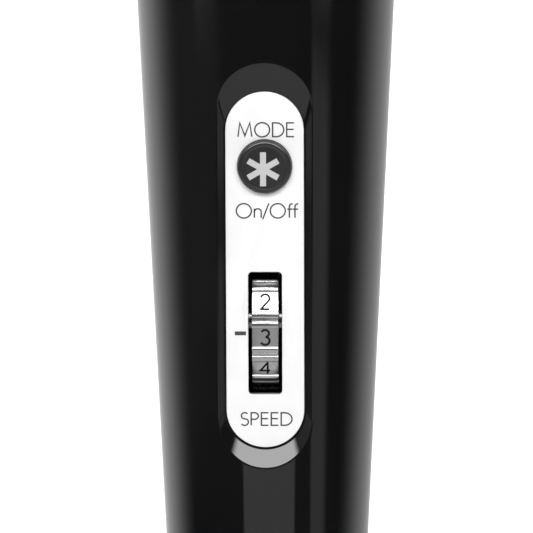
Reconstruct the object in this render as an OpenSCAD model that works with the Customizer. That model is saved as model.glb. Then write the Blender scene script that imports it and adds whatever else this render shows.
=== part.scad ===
// Handheld electric wand massager: tapered two-shell handle with a recessed control panel, a push button,
// a thumbwheel speed dial, a flexible neck and a vibrating head. All sizes are in millimetres.
// +Z runs along the wand towards the head, and the control panel faces -Y.
// The origin is on the handle's axis, in the middle of the grip.

/* [Handle] */
// Outer radius of the handle at the middle of the grip
grip_r = 23.6; // [23:0.1:28.4]
// Taper of the handle, radius gained for each millimetre towards the head
taper = 0.0467; // [0.03:0.001:0.06]
// Length of the handle below the middle of the grip
handle_below = 104; // [100:1:130]
// Wall of the handle shells
wall = 2.5; // [1.8:0.1:3.2]
// Radius of the rounded lower edge of the handle
tail_round = 7; // [4:0.5:9]
// Length of the rounded shoulder under the neck
shoulder_len = 14; // [10:1:20]
// Width of the rounded shoulder under the neck
shoulder_in = 9; // [6:0.5:9]

/* [Control panel] */
// Length of the control plate
plate_len = 73; // [70:0.5:88]
// Width of the control plate
plate_w = 15.7; // [14:0.1:19]
// Thickness of the control plate
plate_t = 1.0; // [0.6:0.1:1.4]
// Least height of the recess's side rims above the control plate
rim_height = 0.2; // [0.1:0.02:0.8]
// Lean of the control plate from the handle's axis, in degrees
plate_tilt = 1.6; // [0:0.1:2.6]
// Gap between plate and recess rim at the sides
recess_gap_side = 1.6; // [0.6:0.1:2.4]
// Gap between plate and recess rim at the head end
recess_gap_top = 6.1; // [4:0.1:8]
// Gap between plate and recess rim at the cord end
recess_gap_bottom = 3.9; // [3:0.1:7]

/* [Mode button] */
// Diameter of the button's cap
button_d = 10.8; // [9:0.1:12]
// Height of the button's centre above the middle of the grip
button_z = 21.3; // [16:0.1:24]
// How far the button's cap stands out of the plate
button_out = 1.2; // [0.8:0.1:2]
// Travel of the button
button_travel = 0.6; // [0.3:0.1:0.8]

/* [Speed wheel] */
// Radius of the wheel over its ribs
wheel_r = 14.6; // [12:0.1:17.6]
// Width of the wheel
wheel_w = 5.3; // [4:0.1:6.4]
// How far the wheel stands out of the plate
wheel_out = 1.6; // [1:0.1:2.4]
// Height of the wheel's centre, negative towards the cord
wheel_z = -12.9; // [-15.5:0.1:-11]
// Number of stations round the wheel
stations = 12; // [12:2:14]
// Depth of the grooves beside the ribs
rib_depth = 0.5; // [0.3:0.1:0.8]
// Gap between the wheel's sides and its window
window_gap = 0.75; // [0.4:0.05:1.2]
// Gap between the wheel and the ends of its window, at the back of the panel
window_end_gap = 2.35; // [0.6:0.05:3]
// Radius of the wheel's shaft
shaft_r = 3; // [2:0.1:3.5]

/* [Neck] */
// Free height of the neck between the handle's trim ring and the head's trim ring
neck_len = 22; // [20:1:30]
// Radius to the middle of the neck spring's wire
spring_r = 11.4; // [9.5:0.1:13.7]
// Wall of the neck sleeve between its ribs
sleeve_wall = 1.4; // [1:0.1:1.6]
// How far the ribs stand out of the neck sleeve
rib_out = 1.5; // [0.8:0.1:2]
// Number of ribs on each half of the neck sleeve
sleeve_ribs = 3; // [2:1:4]

/* [Head] */
// Outer radius of the head
head_r = 30; // [25:0.5:36]
// Height of the head from its trim ring to its top
head_len = 65; // [62:1:75]
// Length of the straight band round the head
head_band = 22; // [16:1:26]
// Thickness of the soft cover
cover_t = 3; // [2:0.2:3.4]
// Wall of the rigid head cups
cup_wall = 2.4; // [1.8:0.1:3]
// Gap between the eccentric weight and the screw bosses in the head
weight_gap = 4.55; // [1:0.05:6]
// Length of the eccentric weight
weight_len = 18; // [14:1:24]

/* [Drive] */
// Outer radius of the motor
motor_r = 17.9; // [14:0.1:18.5]
// Length of the motor's can
motor_len = 46; // [36:1:48]
// Radius of the motor's shaft
motor_shaft_r = 2; // [1.5:0.1:2.4]
// Radius of the eccentric's shaft
drive_r = 2.5; // [2:0.1:3]
// Outer radius of the bearings
bearing_r = 8; // [7:0.5:9]
// Width of the bearings
bearing_w = 5; // [4:0.5:6]

/* [Cord gland] */
// Radius of the bore for the mains lead
cord_r = 3.4; // [2.5:0.1:4.1]
// Length of the gland
gland_len = 18; // [15:1:22]

/* [Hidden] */
$fn = 96;

// Clearances
run_gap = 0.05;      // round parts that turn in each other
slide_gap = 0.2;     // the button in its hole
fit_gap = 0.15;      // loose parts in their seats
touch_gap = 0.05;    // wires where they are soldered on
far = 400;           // larger than the whole object

// Handle
floor_t = 3;                       // end walls of the handle
seam_lip = 1.2;                    // height of the rear shell's lip inside the front shell
tail_z = -handle_below;
taper_deg = atan(taper);
pad_t = 1.8;                       // floor of the front shell behind the control plate
pad_w = 24;
pad_end = 5.8;                     // pad beyond the recess at each end
function outer_r(z) = grip_r + taper * z;

// Case screws, in pairs on both sides of the axis, given as [x, z]
boss_r = 3.6;
screw_r = 1.4;
screw_head_r = 2.7;
screw_grip = 9;                    // thread length in the front boss
boss_low = -54;
boss_high = 31;
function boss_x(z) = outer_r(z) - wall - boss_r + 0.4;

// Control panel, in a frame that leans with the plate: its y 0 is the plate's face, and its z runs along it
plate_r = plate_w / 2;
recess_r = plate_r + recess_gap_side;
recess_len = plate_len + recess_gap_top + recess_gap_bottom;
recess_mid = (recess_gap_top - recess_gap_bottom) / 2;
rim_low = recess_mid - recess_len / 2 + recess_r;    // lower end of the side rims, where they are lowest
panel_y = sqrt(pow(outer_r(rim_low), 2) - pow(recess_r, 2))
    - rim_low * sin(plate_tilt) - rim_height * cos(plate_tilt);
recess_steps = 24;                 // points on each end of the recess
recess_run = 1.8;                  // how far the recess cutter's wall goes on past the surface
recess_ledge = 0.1;                // level rim round the plate's seat
recess_lid = 14;                   // height of the recess cutter's flat lid above the plate
pad_back = plate_t + pad_t;
pad_low = recess_mid - recess_len / 2 - pad_end;
pad_high = recess_mid + recess_len / 2 + pad_end;
end_cap_t = 5;                     // the motor's end cap, between the motor's can and the panel's parts

// Mode button
button_r = button_d / 2;
hole_r = button_r + slide_gap;
flange_t = 0.9;
button_back = pad_back + flange_t + 0.1;
board_t = 1.6;
board_y = 9.2;                     // front face of the control board behind the plate's face
board_w = 24;
board_low = wheel_z + wheel_r + 3.8;
board_high = pad_high - end_cap_t - 1.4;             // short of the motor
board_post_x = 9.2;
board_post_r = 1.9;
board_screw_z = [board_low + 3, board_high - 5];
board_screw_r = 1;
switch_w = 6;
switch_h = 3.4;
plunger_r = 1.7;
plunger_y = board_y - switch_h - 1.2;

// Speed wheel
wheel_y = wheel_r - wheel_out;     // depth of the wheel's axis behind the plate's face
window_w = wheel_w + 2 * window_gap;
window_len = 2 * (sqrt(pow(wheel_r, 2) - pow(wheel_y - pad_back, 2)) + window_end_gap);
station_deg = 360 / stations;
digit_half = station_deg * 4 / 15;
rib_deg = station_deg * 0.12;
rib_flank = station_deg * 0.015;
ear_t = 1.4;
ear_in = window_w / 2 + 0.2;       // inner face of each bracket ear
ear_w = 11;
bracket_flange = 5.2;
bracket_len = 9;
pot_r = 7.6;
pot_len = 6.2;
pot_tab = 3;
foot_screw_r = 0.7;

// Motor, above the control panel, and the top of the handle above the motor
motor_z = pad_high;                // underside of the motor's can
motor_top = motor_z + motor_len;
can_t = 1.2;
magnet_t = 4.2;
magnet_low = 12;                   // foot of the magnets above the can's underside
brush_low = 4;                     // foot of the brushes above the can's underside
brush_h = 5;
brush_w = 4;
commutator_r = 4.6;
armature_r = motor_r - can_t - magnet_t - 0.7;
nose_r = 6.2;
nose_h = 3;
damper_w = 4;
damper_inset = 2;
damper_r = motor_r + 2.4;
rib_t = 2;
anchor_disc_t = 2.6;
anchor_z = motor_top + 0.25;
top_z = anchor_z + anchor_disc_t + fit_gap + floor_t;

// Neck
anchor_bore = spring_r - 2.8;
anchor_r = spring_r + 2.8;
anchor_disc_r = anchor_r + 3.2;
sleeve_in = anchor_r + 0.1;
neck_r = sleeve_in + sleeve_wall + rib_out;
collar_h = 5.6;
collar_r = neck_r + 1;
neck_z = top_z + collar_h;         // foot of the free neck
head_z = neck_z + neck_len;        // underside of the head's trim ring
neck_mid = neck_z + neck_len / 2;
neck_hole_r = anchor_r + 0.3;
spring_wire = 1.3;
spring_turns = 6;
spring_sides = 8;
spring_steps = 22;                 // rings in each turn
spring_seat = 2.4;                 // how far the spring sinks into the anchors

// Head
ring_h = 4.4;
ring_r = neck_r + 3.8;
cup_r = head_r - cover_t - 0.05;
cup_z = head_z + ring_h;           // underside of the rigid cup
head_top = head_z + head_len;
head_end = (head_len - ring_h - head_band) / 2;
cup_floor = 3;
cup_split = cup_z + 27;            // joint between the two cups
seat_wall = 2.2;
lower_bearing_z = cup_z + cup_floor;
upper_bearing_z = head_top - cover_t - cup_wall - 6.4 - bearing_w;
weight_z = (lower_bearing_z + upper_bearing_z + bearing_w - weight_len) / 2;
head_boss_r = 2.8;
head_boss_at = cup_r - cup_wall - head_boss_r + 0.6;
weight_r = head_boss_at - head_boss_r - weight_gap;
head_screw_r = 1.1;
inner_race = bearing_r * 0.5;      // outside of the inner ring
outer_race = bearing_r * 0.75;     // inside of the outer ring
ball_at = (inner_race + outer_race) / 2;
ball_r = bearing_r * 0.18;
balls = 7;
flat_cut = 0.4;                    // flat on the eccentric's shaft
weight_screw_r = 1.5;

// Flexible drive coupling and the eccentric's shaft
coupling_r = 5.2;
coupling_low = motor_top + nose_h + 0.8;
coupling_high = lower_bearing_z - 0.8;
motor_shaft_top = motor_top + 12;
shaft_foot = head_z - 1;
shaft_top = upper_bearing_z + bearing_w + 1;

// Cord end
saddle_gap = 0.2;
gland_groove = cord_r + 2.8;
gland_nose_r = cord_r + 5;
gland_nose = 5.6;
gland_flange_r = cord_r + 6;
clamp_x = cord_r + 5;
clamp_w = 24;
clamp_h = 6;
clamp_z = tail_z - gland_nose + gland_len + 1.6 + clamp_h / 2;
clamp_t = 6.4;
clamp_screw_r = 1.25;
power_low = clamp_z + 11;
power_len = 43;
power_w = 22;
power_y = 5;                       // front face of the power board
power_holes = [[0, power_len - 3], [-8.6, 3], [8.6, 3]];
lead_x = 8;                        // terminals of the motor's leads
lead_y = 9;                        // the leads' way up the handle
terminal_top = 1.6;                // the motor's terminals below the power board's upper edge

// ---------------------------------------------------------------- shared shapes

// Points of an arc or, with a second radius, of an ellipse
function arc(cx, cy, r, a0, a1, n, ry = 0) =
    [for (i = [0:n]) let (a = a0 + (a1 - a0) * i / n) [cx + r * cos(a), cy + (ry > 0 ? ry : r) * sin(a)]];

// Half section of the handle, inset by t
module handle_section(t = 0) {
    low = tail_z + (t > 0 ? floor_t : 0);
    high = top_z - (t > 0 ? floor_t : 0);
    f = max(tail_round - t, 1);
    a = shoulder_in - min(t, shoulder_in - 2);
    b = shoulder_len - t;
    start = atan(-taper * b / a);
    polygon(concat(
        [[0, low]],
        arc(outer_r(low + f) - t - f / cos(taper_deg), low + f, f, -90, -taper_deg, 10),
        arc(outer_r(high - b + b * sin(start)) - t - a * cos(start), high - b, a, start, 90, 14, b),
        [[0, high]]
    ));
}

module handle_solid(t = 0) {
    rotate_extrude() handle_section(t);
}

// Moves children into the leaning frame of the control panel
module panel() {
    translate([0, -panel_y, 0]) rotate([plate_tilt, 0, 0]) children();
}

// Rounded slot outline standing along local z, extruded from y0 to y1
module panel_slot(r, len, y0, y1) {
    translate([0, y1, 0]) rotate([90, 0, 0]) linear_extrude(y1 - y0) {
        square([2 * r, len - 2 * r], center = true);
        for (s = [-1, 1]) translate([0, s * (len / 2 - r)]) circle(r);
    }
}

// Round bar along local y, from y0 to y1
module panel_bar(r, z, y0, y1, x = 0) {
    translate([x, y1, z]) rotate([90, 0, 0]) cylinder(r = r, h = y1 - y0);
}

module ring(r_out, r_in, z0, h) {
    translate([0, 0, z0]) difference() {
        cylinder(r = r_out, h = h);
        translate([0, 0, -1]) cylinder(r = r_in, h = h + 2);
    }
}

// Half space in front of (s = -1) or behind (s = 1) the seam
module half_space(s) {
    translate([-far / 2, s > 0 ? 0 : -far, -far / 2]) cube([far, far, far]);
}

// Points of an upright slot outline: half width r, total length len, middle at mid
function slot_points(r, len, mid) = [
    for (s = [0, 1]) for (i = [0:recess_steps])
        let (a = s * 180 + 180 * i / recess_steps)
        [r * cos(a), mid + (s == 0 ? 1 : -1) * (len / 2 - r) + r * sin(a)]
];

// Height of the handle's surface above the plate's plane, at local x and z
function lift(x, z) =
    (sqrt(pow(outer_r(z), 2) - x * x) - panel_y - z * sin(plate_tilt)) / cos(plate_tilt);

// Cutter for the recess: a wall that rises from the plate's outline to the rim on the handle's surface,
// goes on as far again, and ends in a flat lid well outside the handle
module recess_cutter() {
    n = 2 * (recess_steps + 1);
    margin = fit_gap + recess_ledge;
    foot = slot_points(plate_r + margin, plate_len + 2 * margin, 0);
    rim = slot_points(recess_r, recess_len, recess_mid);
    reach = [for (i = [0:n - 1])
        let (over = foot[i] + (rim[i] - foot[i]) * recess_run, up = lift(rim[i][0], rim[i][1]) * recess_run)
        [over[0], -up, over[1]]];
    points = concat(
        [for (p = foot) [p[0], 0, p[1]]],
        reach,
        [for (p = reach) [p[0], -recess_lid, p[2]]]
    );
    polyhedron(points, concat(
        [[for (i = [0:n - 1]) i]],
        [for (k = [0:1]) for (i = [0:n - 1]) let (a = k * n + i, b = k * n + (i + 1) % n) each [
            [a, a + n, b],
            [b, a + n, b + n]
        ]],
        [[for (i = [n - 1:-1:0]) 2 * n + i]]
    ));
}

// ---------------------------------------------------------------- handle shells

module case_screw_places() {
    for (z = [boss_low, boss_high]) for (x = [-1, 1]) translate([x * boss_x(z), 0, z]) children();
}

module case_bosses(s) {
    case_screw_places() translate([0, s > 0 ? far : 0, 0]) rotate([90, 0, 0]) cylinder(r = boss_r, h = far);
}

// Grooved rings inside the shells that hold the motor's rubber rings
module motor_ribs() {
    edge = rib_t + fit_gap;
    for (z = damper_zs()) difference() {
        ring(outer_r(top_z), motor_r + 0.6, z - edge, damper_w + 2 * edge);
        translate([0, 0, z - fit_gap]) cylinder(r = damper_r, h = damper_w + 2 * fit_gap);
    }
}

function damper_zs() = [motor_z + damper_inset, motor_top - damper_inset - damper_w];

// A lip along the seam, on the inner half of the wall
module lip(gap) {
    low = tail_z + tail_round + gap;
    high = top_z - shoulder_len - gap;
    intersection() {
        difference() {
            handle_solid(wall / 2 + gap);
            handle_solid(wall);
        }
        translate([-far / 2, gap - seam_lip, low]) cube([far, seam_lip - gap, high - low]);
    }
}

// One half of the handle, in front of the seam (s = -1) or behind it (s = 1)
module shell_half(s) {
    difference() {
        intersection() {
            union() {
                difference() {
                    handle_solid();
                    handle_solid(wall);
                }
                intersection() {
                    handle_solid(wall / 2);
                    union() {
                        case_bosses(s);
                        motor_ribs();
                    }
                }
            }
            half_space(s);
        }
        translate([0, 0, top_z - floor_t - 1]) cylinder(r = neck_hole_r, h = floor_t + 2);
        translate([0, 0, tail_z - 1]) cylinder(r = gland_groove + fit_gap, h = floor_t + 2);
    }
}

module front_shell() {
    post_start = pad_back - 0.5;
    color("black") difference() {
        union() {
            shell_half(-1);
            intersection() {
                handle_solid(wall / 2);
                panel() translate([-pad_w / 2, pad_back - far, pad_low])
                    cube([pad_w, far, pad_high - pad_low]);
            }
            panel() board_places() panel_bar(board_post_r, 0, post_start, board_y);
        }
        panel() {
            recess_cutter();
            panel_slot(plate_r + fit_gap, plate_len + 2 * fit_gap, -1, plate_t);
            panel_bar(hole_r + 0.1, button_z, -1, pad_back + 1);
            translate([-window_w / 2 - 0.2, -1, wheel_z - window_len / 2 - 0.3])
                cube([window_w + 0.4, pad_back + 2, window_len + 0.6]);
            board_places() panel_bar(board_screw_r, 0, board_y - 5, board_y + 1);
            foot_places() panel_bar(foot_screw_r, 0, pad_back - 1.3, pad_back + 1);
        }
        case_screw_places() rotate([90, 0, 0]) translate([0, 0, -1])
            cylinder(r = screw_r, h = screw_grip + 1.6);
        lip(0);
    }
}

module rear_shell() {
    color("black") difference() {
        union() {
            shell_half(1);
            lip(fit_gap / 2);
            intersection() {
                handle_solid(wall / 2);
                union() {
                    translate([-clamp_w / 2, saddle_gap, clamp_z - clamp_h / 2])
                        cube([clamp_w, far, clamp_h]);
                    power_places() translate([0, power_y + board_t, 0]) rotate([-90, 0, 0])
                        cylinder(r = 2.4, h = far);
                }
            }
        }
        for (z = [boss_low, boss_high]) for (x = [-1, 1])
            translate([x * boss_x(z), 0, z]) rotate([-90, 0, 0]) {
            translate([0, 0, -1]) cylinder(r = screw_r + 0.3, h = far);
            translate([0, 0, screw_seat(z)]) cylinder(r = screw_head_r + 0.3, h = far);
        }
        cord_bore();
        clamp_places() rotate([-90, 0, 0]) cylinder(r = clamp_screw_r, h = 8);
        power_places() translate([0, power_y, 0]) rotate([-90, 0, 0])
            cylinder(r = board_screw_r, h = board_t + 5);
    }
}

// Distance from the seam to the shoulder under a case screw's head
function screw_seat(z) = sqrt(pow(outer_r(z), 2) - pow(boss_x(z) + screw_head_r, 2)) - 3.2;

module case_screws() {
    slot_l = 3.4;
    slot_w = 0.7;
    color("dimgray") for (z = [boss_low, boss_high]) for (x = [-1, 1])
        translate([x * boss_x(z), 0, z]) rotate([-90, 0, 0]) difference() {
            union() {
                translate([0, 0, -screw_grip]) cylinder(r = screw_r, h = screw_grip + screw_seat(z) + 0.4);
                translate([0, 0, screw_seat(z)]) cylinder(r = screw_head_r, h = 1.8);
            }
            for (a = [0, 90]) rotate([0, 0, a])
                translate([-slot_l / 2, -slot_w / 2, screw_seat(z) + 0.8]) cube([slot_l, slot_w, 2]);
        }
}

// ---------------------------------------------------------------- control panel

module window_cutter(y0, y1) {
    corner = 0.8;
    translate([0, y1, wheel_z]) rotate([90, 0, 0]) linear_extrude(y1 - y0) {
        square([window_w - 2 * corner, window_len], center = true);
        square([window_w, window_len - 2 * corner], center = true);
        for (x = [-1, 1]) for (z = [-1, 1])
            translate([x * (window_w / 2 - corner), z * (window_len / 2 - corner)]) circle(corner);
    }
}

module control_plate() {
    color("silver") panel() difference() {
        panel_slot(plate_r, plate_len, 0, plate_t);
        panel_bar(hole_r, button_z, -1, plate_t + 1);
        window_cutter(-1, plate_t + 1);
    }
}

module mode_button() {
    dome = 0.35;
    color([0.13, 0.13, 0.13]) panel() translate([0, 0, button_z]) rotate([90, 0, 0])
        rotate_extrude() polygon([
        [0, -plunger_y],
        [plunger_r, -plunger_y],
        [plunger_r, -button_back],
        [button_r + 1, -button_back],
        [button_r + 1, -pad_back - 0.1],
        [button_r, -pad_back - 0.1],
        [button_r, button_out - dome - 0.25],
        [button_r - 0.35, button_out - dome],
        [button_r - 1, button_out - 0.12],
        [button_r - 2.2, button_out],
        [0, button_out]
    ]);
}

module mode_switch() {
    stem = board_y - switch_h - plunger_y - button_travel - 0.1;
    color("dimgray") panel() translate([0, 0, button_z]) {
        translate([-switch_w / 2, board_y - switch_h, -switch_w / 2]) cube([switch_w, switch_h, switch_w]);
        translate([0, board_y - switch_h, 0]) rotate([90, 0, 0]) cylinder(r = 1.6, h = stem);
    }
}

// Places of the control board's screws, in the panel's frame
module board_places() {
    for (x = [-1, 1]) for (z = board_screw_z) translate([x * board_post_x, 0, z]) children();
}

module control_board() {
    color("darkgreen") panel() difference() {
        translate([-board_w / 2, board_y, board_low]) cube([board_w, board_t, board_high - board_low]);
        board_places() panel_bar(board_screw_r + 0.2, 0, board_y - 1, board_y + board_t + 1);
    }
}

// Screws of the control board and of the power board
module board_screws() {
    grip = 4;
    color("silver") {
        panel() board_places() board_screw(board_y - grip, board_y + board_t);
        power_places() mirror([0, 1, 0]) board_screw(-power_y - board_t - grip, -power_y);
    }
}

// Board screw along y, from its tip at y0 to the underside of its head at y1
module board_screw(y0, y1) {
    panel_bar(board_screw_r, 0, y0, y1);
    panel_bar(2, 0, y1, y1 + 1.4);
}

// ---------------------------------------------------------------- speed wheel

// Outline of the wheel: a flat for each number, then two ribs with a groove between them
function polar(r, a) = [r * cos(a), r * sin(a)];
function wheel_outline() = let (low = wheel_r - rib_depth, edge = rib_flank + rib_deg) [
    for (k = [0:stations - 1])
        let (a = k * station_deg + digit_half, b = (k + 1) * station_deg - digit_half) each [
        polar(low, a),
        polar(wheel_r, a + rib_flank),
        polar(wheel_r, a + edge),
        polar(low, a + edge + rib_flank),
        polar(low, b - edge - rib_flank),
        polar(wheel_r, b - edge),
        polar(wheel_r, b - rib_flank),
        polar(low, b)
    ]
];

// Moves children to the wheel's axis, with z along world X and station 0 facing out of the panel
module wheel_axis() {
    panel() translate([0, wheel_y, wheel_z]) rotate([0, 90, 0]) rotate([0, 0, -90]) children();
}

module speed_wheel() {
    hub_r = shaft_r + 2.2;
    dish = 1.1;
    color("silver") wheel_axis() difference() {
        translate([0, 0, -wheel_w / 2]) linear_extrude(wheel_w) polygon(wheel_outline());
        translate([0, 0, -wheel_w]) cylinder(r = shaft_r, h = 2 * wheel_w);
        for (s = [-1, 1]) ring(wheel_r - rib_depth - 2, hub_r, s * wheel_w / 2 - dish, 2 * dish);
    }
}

module pot_shaft() {
    color("gray") wheel_axis() translate([0, 0, -ear_in - ear_t])
        cylinder(r = shaft_r, h = 2 * (ear_in + ear_t) + pot_len - 1.4);
}

// Places of the screws in the bracket's feet, in the panel's frame
module foot_places() {
    for (x = [-1, 1]) for (z = [-1, 1])
        translate([x * (ear_in + ear_t + bracket_flange / 2), 0, wheel_z + z * bracket_len / 4]) children();
}

module wheel_bracket() {
    foot = ear_in + ear_t;
    back = wheel_y + ear_w / 2;
    flange_h = bracket_len + 2;
    color([0.2, 0.2, 0.2]) panel() difference() {
        for (s = [-1, 1]) {
            translate([s > 0 ? ear_in : -foot, pad_back, wheel_z - ear_w / 2])
                cube([ear_t, back - pad_back, ear_w]);
            translate([s > 0 ? ear_in : -foot - bracket_flange, pad_back, wheel_z - flange_h / 2])
                cube([ear_t + bracket_flange, ear_t, flange_h]);
        }
        translate([-far / 2, wheel_y, wheel_z]) rotate([0, 90, 0]) cylinder(r = shaft_r + run_gap, h = far);
        foot_places() panel_bar(foot_screw_r + 0.2, 0, pad_back - 1, pad_back + ear_t + 1);
    }
}

module bracket_screws() {
    top = pad_back + ear_t;
    color("silver") panel() foot_places() {
        panel_bar(foot_screw_r, 0, pad_back - 1, top);
        panel_bar(foot_screw_r + 0.4, 0, top, top + 0.8);
    }
}

module speed_pot() {
    start = ear_in + ear_t;
    tab_w = 5.2;
    color([0.1, 0.2, 0.45]) wheel_axis() difference() {
        union() {
            translate([0, 0, start]) cylinder(r = pot_r, h = pot_len);
            translate([-tab_w / 2, -pot_r - pot_tab, start + 1]) cube([tab_w, pot_r, 1.2]);
        }
        translate([0, 0, start - 1]) cylinder(r = shaft_r + run_gap, h = pot_len - 0.4);
    }
}

// ---------------------------------------------------------------- cord end and power board

module cord_gland() {
    low = tail_z - gland_nose;
    color([0.1, 0.1, 0.1]) rotate_extrude() polygon([
        [cord_r, low],
        [gland_nose_r - 1.2, low],
        [gland_nose_r, low + 1.2],
        [gland_nose_r, tail_z],
        [gland_groove, tail_z],
        [gland_groove, tail_z + floor_t],
        [gland_flange_r, tail_z + floor_t],
        [gland_flange_r, tail_z + floor_t + 1.8],
        [gland_groove, tail_z + floor_t + 3],
        [gland_groove, low + gland_len],
        [cord_r, low + gland_len]
    ]);
}

module cord_bore() {
    translate([0, 0, clamp_z - clamp_h]) cylinder(r = cord_r, h = 2 * clamp_h);
}

module clamp_places() {
    for (x = [-1, 1]) translate([x * clamp_x, 0, clamp_z]) children();
}

// Bar that presses the mains lead into the saddle of the rear shell
module cord_clamp() {
    color([0.25, 0.25, 0.25]) difference() {
        translate([-clamp_w / 2, -clamp_t, clamp_z - clamp_h / 2]) cube([clamp_w, clamp_t, clamp_h]);
        cord_bore();
        clamp_places() rotate([90, 0, 0]) translate([0, 0, -1])
            cylinder(r = clamp_screw_r + 0.2, h = clamp_t + 2);
    }
}

module clamp_screws() {
    grip = 7;
    color("silver") clamp_places() rotate([-90, 0, 0]) {
        translate([0, 0, -clamp_t]) cylinder(r = clamp_screw_r, h = clamp_t + grip);
        translate([0, 0, -clamp_t - 1.6]) cylinder(r = 2.3, h = 1.6);
    }
}

module power_places() {
    for (p = power_holes) translate([p[0], 0, power_low + p[1]]) children();
}

module power_board() {
    color("darkgreen") difference() {
        translate([-power_w / 2, power_y, power_low]) cube([power_w, board_t, power_len]);
        power_places() panel_bar(board_screw_r + 0.2, 0, power_y - 1, power_y + board_t + 1);
    }
}

// Where the mains lead's two wires are screwed down
module terminal_block() {
    block_w = 12;
    block_h = 8;
    deep = 7.6;
    color("ivory") difference() {
        translate([-block_w / 2, power_y - deep, power_low]) cube([block_w, deep, block_h]);
        for (x = [-1, 1]) {
            translate([x * 3, power_y - deep / 2, power_low - 1]) cylinder(r = 1.5, h = block_h);
            translate([x * 3, 0, power_low + block_h / 2]) rotate([90, 0, 0]) cylinder(r = 1.2, h = deep);
        }
    }
}

// Fuse, capacitor, rectifier, choke and the motor's two terminals, standing on the power board
module power_parts() {
    fuse_r = 2.2;
    cap_r = 5;
    choke_r = 4.4;
    terminal = 4;
    terminal_z = power_len - terminal_top - terminal;
    color("dimgray") translate([0, power_y, power_low]) {
        translate([-8, -2 * fuse_r, 11.5]) rotate([0, 90, 0]) cylinder(r = fuse_r, h = 16);
        for (x = [-8, 6]) translate([x, -2 * fuse_r, 10.7]) cube([2, 2 * fuse_r, 1.6]);
        translate([-5.2, -cap_r, 16]) cylinder(r = cap_r, h = 18);
        translate([1.5, -6, 16]) cube([9, 6, 10]);
        translate([6, 0, 32]) rotate([90, 0, 0]) difference() {
            cylinder(r = choke_r, h = 4.4);
            translate([0, 0, -1]) cylinder(r = 2, h = 7);
        }
        for (x = [-1, 1]) translate([x * lead_x - terminal / 2, -5, terminal_z])
            cube([terminal, 5, terminal]);
    }
}

// ---------------------------------------------------------------- wires

function unit(v) = v / norm(v);

// Smooth curve through hand-placed points
function spline(p, n) = [
    for (i = [0:len(p) - 2]) for (k = [0:n - 1])
        let (a = p[max(i - 1, 0)], b = p[i], c = p[i + 1], d = p[min(i + 2, len(p) - 1)], t = k / n)
        0.5 * (2 * b + t * (c - a) + t * t * (2 * a - 5 * b + 4 * c - d)
            + t * t * t * (3 * b - a - 3 * c + d)),
    p[len(p) - 1]
];

// Round tube of radius r that follows the points of a path
module sweep(path, r, sides) {
    last = len(path) - 1;
    dirs = [for (i = [0:last]) unit(path[min(i + 1, last)] - path[max(i - 1, 0)])];
    side = [1, 0.2, 0.1];
    rings = [for (i = [0:last]) let (u = unit(cross(dirs[i], side)), v = cross(dirs[i], u))
        for (k = [0:sides - 1]) path[i] + r * (cos(360 * k / sides) * u + sin(360 * k / sides) * v)];
    polyhedron(rings, concat(
        [[for (k = [0:sides - 1]) k]],
        [for (i = [0:last - 1]) for (k = [0:sides - 1])
            let (a = i * sides, b = a + sides, m = (k + 1) % sides) each [
            [a + k, b + k, a + m], [a + m, b + k, b + m]
        ]],
        [[for (k = [sides - 1:-1:0]) last * sides + k]]
    ));
}

// From the power board's terminals up the back of the handle to the motor's end cap
module motor_leads() {
    low = power_low + power_len - terminal_top + touch_gap;
    high = motor_z - end_cap_t - touch_gap;
    for (x = [-1, 1]) color(x > 0 ? "red" : "black") sweep(spline([
        [x * lead_x, 3, low], [x * lead_x, 3, low + 0.5], [x * lead_x, 3, low + 2.5],
        [x * (lead_x + 1), 5, low + 6.5],
        [x * 12, lead_y, -20], [x * 12.5, lead_y, -4], [x * 11, lead_y, 14], [x * 9, lead_y, 28],
        [x * lead_x, lead_y, high - 6], [x * lead_x, lead_y, high]
    ], 3), 0.8, 8);
}

// Two wires from the control board to the power board, and three from the speed dial to the control board
module control_leads() {
    back = board_y + board_t;
    wire_r = 0.7;
    top = power_low + power_len;
    face = back - panel_y + wire_r + touch_gap;
    thin_r = 0.5;
    outer = ear_in + ear_t;
    tab_end = wheel_z + pot_r + pot_tab + touch_gap;
    color("gray") {
        for (x = [-1, 1]) sweep(spline([
            [x * 8, face, board_low + 14], [x * 11, face + 3, board_low + 7], [x * 13, -3, -4],
            [x * 13.5, -2, -15], [x * 10, -0.5, -25], [x * 5, 2, top + 2],
            [x * 4, power_y - 2 * wire_r, top - 2.5], [x * 4, power_y - wire_r - touch_gap, top - 6]
        ], 3), wire_r, 8);
        panel() for (k = [-1:1]) sweep(spline([
            [outer + 1.6, wheel_y + k * 1.8, tab_end], [outer + 1.6, wheel_y + k * 1.8, tab_end + 0.5],
            [outer + 1.6, wheel_y + k * 1.8, tab_end + 2.5],
            [outer + k * 1.4, back + 1.4, board_low + 2],
            [outer + k * 1.4, back + thin_r + touch_gap, board_low + 4]
        ], 3), thin_r, 8);
    }
}

// ---------------------------------------------------------------- motor

module motor_can() {
    color("silver") difference() {
        union() {
            translate([0, 0, motor_z]) cylinder(r = motor_r, h = motor_len);
            translate([0, 0, motor_top]) cylinder(r = nose_r, h = nose_h);
        }
        translate([0, 0, motor_z - 1]) cylinder(r = motor_r - can_t, h = motor_len + 1 - can_t);
        cylinder(r = nose_r - 2, h = far);
    }
}

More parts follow.
